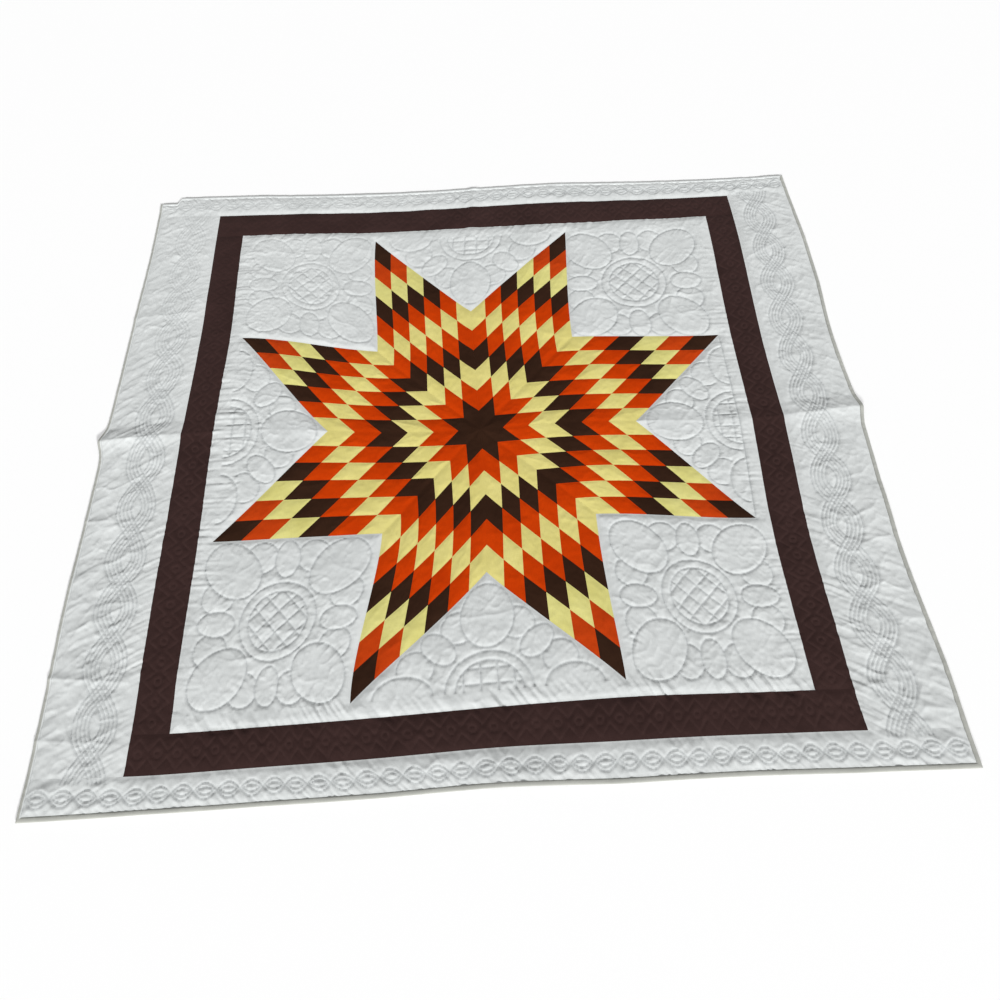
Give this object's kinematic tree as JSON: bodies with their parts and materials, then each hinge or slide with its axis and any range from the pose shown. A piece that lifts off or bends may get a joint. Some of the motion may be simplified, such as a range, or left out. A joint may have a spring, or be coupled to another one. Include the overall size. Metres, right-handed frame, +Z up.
{
  "type": "star quilt blanket, spread open and lying flat",
  "caption": "Pieced and quilted bed cover with a large eight-pointed star, white ground, dark frame and bound edge, lying spread out flat.",
  "frame": {"origin": "on the surface that it lies on, under the middle of the quilt", "axes": "+X to the right and +Y away from the viewer, along the quilt's long and short sides; +Z up, out of the quilted face"},
  "size_m": [2.316, 2.0341, 0.0205],
  "materials": {
    "star_patchwork": "matt cotton in diamonds of brown, orange-red and pale yellow",
    "white_cotton": "matt white cotton, quilted",
    "brown_cotton": "matt dark brown cotton, quilted",
    "edge_binding": "matt grey-white cotton"
  },
  "bodies": {
    "root": {"star_point_1": "star_patchwork", "star_point_2": "star_patchwork", "star_point_3": "star_patchwork", "star_point_4": "star_patchwork", "star_point_5": "star_patchwork", "star_point_6": "star_patchwork", "star_point_7": "star_patchwork", "star_point_8": "star_patchwork", "corner_square_1": "white_cotton", "side_triangle_1": "white_cotton", "corner_square_2": "white_cotton", "side_triangle_2": "white_cotton", "corner_square_3": "white_cotton", "side_triangle_3": "white_cotton", "corner_square_4": "white_cotton", "side_triangle_4": "white_cotton", "inner_strip_top": "white_cotton", "brown_strip_top": "brown_cotton", "border_top": "white_cotton", "binding_top": "edge_binding", "inner_strip_bottom": "white_cotton", "brown_strip_bottom": "brown_cotton", "border_bottom": "white_cotton", "binding_bottom": "edge_binding", "inner_strip_left": "white_cotton", "brown_strip_left": "brown_cotton", "border_left": "white_cotton", "binding_left": "edge_binding", "inner_strip_right": "white_cotton", "brown_strip_right": "brown_cotton", "border_right": "white_cotton", "binding_right": "edge_binding"}
  },
  "joints": []
}
